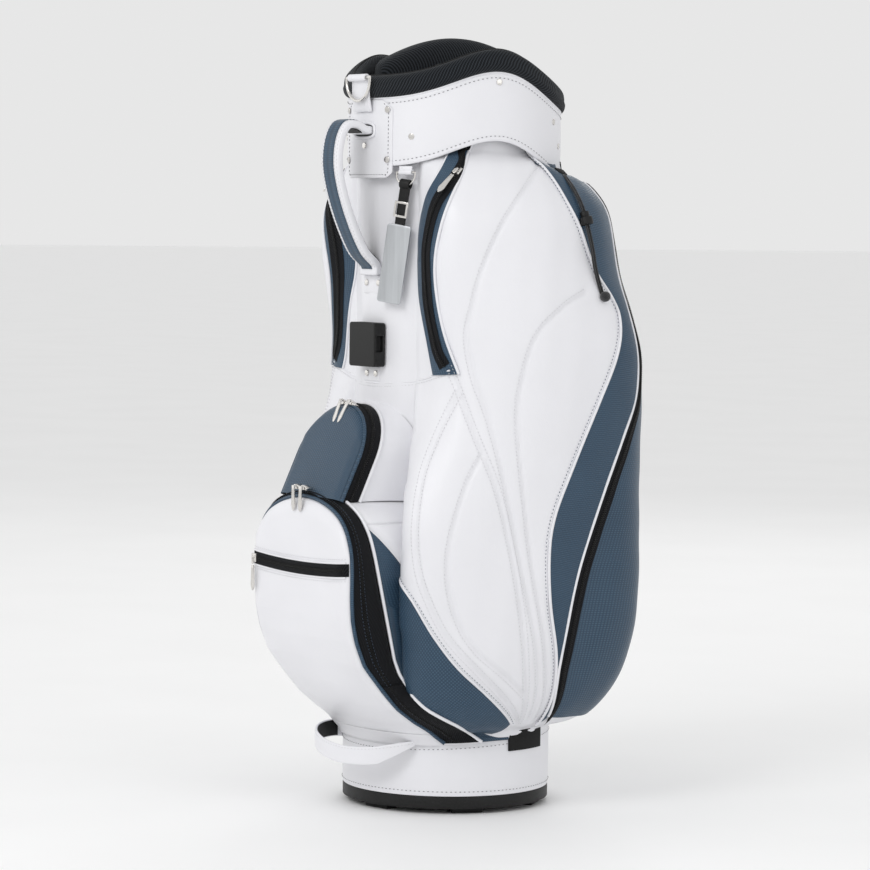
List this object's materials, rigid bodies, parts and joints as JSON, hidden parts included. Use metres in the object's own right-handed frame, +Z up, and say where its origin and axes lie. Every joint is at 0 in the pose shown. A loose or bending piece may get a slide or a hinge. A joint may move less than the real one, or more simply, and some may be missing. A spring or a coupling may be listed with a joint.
{
  "type": "golf bag",
  "caption": "Upright caddie golf bag with a moulded base, side, ball and dome pockets, padded club dividers, a front handle and small swinging hardware.",
  "frame": {"origin": "on the floor under the tube's axis, in the middle of the base's centre foot", "axes": "+Z up along the tube, -Y to the front (ball pocket and handle), +X to the side with the umbrella cord"},
  "size_m": [0.3792, 0.3799, 0.88],
  "materials": {
    "white_leather": "smooth, faintly pebbled synthetic leather, satin",
    "navy_leather": "fine square embossed weave, satin",
    "black_plastic": "moulded, satin",
    "black_cloth": "ribbed zip tape and webbing",
    "black_mesh": "padded mesh with a diagonal rib",
    "liner_board": "stiff board",
    "stay_rod": "plain rod",
    "lining_cloth": "thin lining cloth",
    "black_cord": "braided elastic cord",
    "tag_metal": "satin silver plate with a dark edge",
    "nickel": "bright nickel"
  },
  "bodies": {
    "bag": {"anchor_rivets": "nickel", "ball_pocket": "black_cloth", "base_band": "white_leather", "base_handle": "white_leather", "base_tray": "black_plastic", "body_cover": "white_leather", "buckle_rivets": "nickel", "club_dividers": "lining_cloth", "collar": "white_leather", "collar_snaps": "nickel", "cord_knot": "black_cord", "cord_tab": "black_cloth", "cross_bar_front_left": "black_mesh", "cross_bar_front_right": "black_mesh", "cross_bar_rear_left": "black_mesh", "cross_bar_rear_right": "black_mesh", "cuff": "black_mesh", "divider_bar": "black_mesh", "handle": "navy_leather", "handle_anchor": "white_leather", "handle_tab": "white_leather", "hood_strap": "white_leather", "liner_tube": "liner_board", "panel_snaps": "nickel", "rear_pocket_left": "navy_leather", "rear_pocket_right": "navy_leather", "ring_loop": "white_leather", "side_pocket_left": "white_leather", "side_pocket_right": "white_leather", "stays": "stay_rod", "tab_rivets": "nickel", "tag_loop": "white_leather", "top_frame": "black_plastic", "umbrella_cord_a": "black_cord", "umbrella_cord_b": "black_cord", "umbrella_tip_pocket": "black_cloth", "valuables_pocket": "navy_leather"},
    "ball_lid": {"ball_pocket_lid": "white_leather"},
    "shoulder_ring": {"shoulder_ring": "nickel"},
    "tag_ring": {"tag_ring": "nickel"},
    "tag_strap": {"tag_strap": "black_cloth", "tag_buckle": "nickel"},
    "name_tag": {"name_tag": "tag_metal"},
    "hood_buckle": {"hood_buckle": "black_plastic"},
    "cord_lock": {"cord_lock": "black_plastic"},
    "cord_lock_button": {"cord_lock_button": "black_plastic"},
    "slider_upper_right": {"zip_slider_upper_right": "nickel"},
    "pull_upper_right": {"zip_pull_upper_right": "nickel"},
    "slider_upper_left": {"zip_slider_upper_left": "nickel"},
    "pull_upper_left": {"zip_pull_upper_left": "nickel"},
    "slider_ball_left": {"zip_slider_ball_left": "nickel"},
    "pull_ball_left": {"zip_pull_ball_left": "nickel"},
    "slider_ball_right": {"zip_slider_ball_right": "nickel"},
    "pull_ball_right": {"zip_pull_ball_right": "nickel"},
    "slider_dome_left": {"zip_slider_dome_left": "nickel"},
    "pull_dome_left": {"zip_pull_dome_left": "nickel"},
    "slider_dome_right": {"zip_slider_dome_right": "nickel"},
    "pull_dome_right": {"zip_pull_dome_right": "nickel"},
    "slider_ball_front": {"zip_slider_ball_front": "nickel"},
    "pull_ball_front": {"zip_pull_ball_front": "nickel"}
  },
  "joints": [
    {"name": "ball_lid_swing", "type": "hinge", "parent": "bag", "child": "ball_lid", "pos_m": [0, -0.1225, 0.0915], "axis": [1, 0, 0], "range_deg": [0, 30]},
    {"name": "shoulder_ring_swing", "type": "hinge", "parent": "bag", "child": "shoulder_ring", "pos_m": [0, -0.133, 0.83], "axis": [-1, 0, 0], "range_deg": [0, 120]},
    {"name": "tag_ring_swing", "type": "hinge", "parent": "bag", "child": "tag_ring", "pos_m": [0.05726, -0.10546, 0.724], "axis": [-0.8788, -0.4772, 0], "range_deg": [0, 50]},
    {"name": "tag_strap_swing", "type": "hinge", "parent": "tag_ring", "child": "tag_strap", "pos_m": [0.05726, -0.10546, 0.7109], "axis": [-0.8694, -0.472, 0.1461], "range_deg": [0, 50]},
    {"name": "name_tag_swing", "type": "hinge", "parent": "tag_strap", "child": "name_tag", "pos_m": [0.05179, -0.10956, 0.6651], "axis": [-0.8694, -0.472, 0.1461], "range_deg": [0, 70]},
    {"name": "hood_buckle_swing", "type": "hinge", "parent": "bag", "child": "hood_buckle", "pos_m": [0, -0.1104, 0.504], "axis": [1, 0, 0], "range_deg": [0, 70]},
    {"name": "zip_upper_right_travel", "type": "hinge", "parent": "bag", "child": "slider_upper_right", "pos_m": [0.07395, -0.032, 0.67614], "axis": [-0.8542, -0.3935, 0.3397], "range_deg": [-56, 0]},
    {"name": "zip_upper_left_travel", "type": "hinge", "parent": "bag", "child": "slider_upper_left", "pos_m": [-0.07395, -0.032, 0.67614], "axis": [-0.8542, 0.3935, -0.3397], "range_deg": [-56, 0]},
    {"name": "zip_ball_left_travel", "type": "hinge", "parent": "ball_lid", "child": "slider_ball_left", "pos_m": [0, 0, 0.15], "axis": [0, 1, 0], "range_deg": [-20, 0]},
    {"name": "zip_ball_right_travel", "type": "hinge", "parent": "ball_lid", "child": "slider_ball_right", "pos_m": [0, 0, 0.15], "axis": [0, 1, 0], "range_deg": [0, 20]},
    {"name": "zip_dome_left_travel", "type": "hinge", "parent": "bag", "child": "slider_dome_left", "pos_m": [0, -0.1722, 0.40581], "axis": [0, 0.9063, -0.4226], "range_deg": [-80, 0]},
    {"name": "zip_dome_right_travel", "type": "hinge", "parent": "bag", "child": "slider_dome_right", "pos_m": [0, -0.1722, 0.40581], "axis": [0, 0.9063, -0.4226], "range_deg": [0, 80]},
    {"name": "zip_ball_front_travel", "type": "slide", "parent": "ball_lid", "child": "slider_ball_front", "axis": [1, 0, 0], "range_m": [0, 0.17]},
    {"name": "pull_upper_right_swing", "type": "hinge", "parent": "slider_upper_right", "child": "pull_upper_right", "pos_m": [0.11527, -0.08194, 0.7222], "axis": [-0.8542, -0.3935, 0.3397], "range_deg": [0, 100]},
    {"name": "pull_upper_left_swing", "type": "hinge", "parent": "slider_upper_left", "child": "pull_upper_left", "pos_m": [-0.11527, -0.08194, 0.7222], "axis": [-0.8542, 0.3935, -0.3397], "range_deg": [0, 100]},
    {"name": "pull_ball_left_swing", "type": "hinge", "parent": "slider_ball_left", "child": "pull_ball_left", "pos_m": [-0.00767, -0.20957, 0.37087], "axis": [-0.9994, 0, -0.0347], "range_deg": [0, 150]},
    {"name": "pull_ball_right_swing", "type": "hinge", "parent": "slider_ball_right", "child": "pull_ball_right", "pos_m": [0.00767, -0.20957, 0.37087], "axis": [-0.9994, 0, 0.0347], "range_deg": [0, 150]},
    {"name": "pull_dome_left_swing", "type": "hinge", "parent": "slider_dome_left", "child": "pull_dome_left", "pos_m": [-0.00809, -0.14643, 0.46718], "axis": [-0.9927, -0.051, -0.1094], "range_deg": [0, 150]},
    {"name": "pull_dome_right_swing", "type": "hinge", "parent": "slider_dome_right", "child": "pull_dome_right", "pos_m": [0.00809, -0.14643, 0.46718], "axis": [-0.9927, 0.051, 0.1094], "range_deg": [0, 150]},
    {"name": "pull_ball_front_swing", "type": "hinge", "parent": "slider_ball_front", "child": "pull_ball_front", "pos_m": [-0.088, -0.212, 0.27343], "axis": [-1, 0, 0], "range_deg": [0, 100]},
    {"name": "cord_lock_travel", "type": "slide", "parent": "bag", "child": "cord_lock", "axis": [0.2839, 0.1014, -0.9535], "range_m": [-0.005, 0.005]},
    {"name": "cord_lock_press", "type": "slide", "parent": "cord_lock", "child": "cord_lock_button", "axis": [0.2839, 0.1014, -0.9535], "range_m": [0, 0.004], "stiffness_N_per_m": 200}
  ]
}
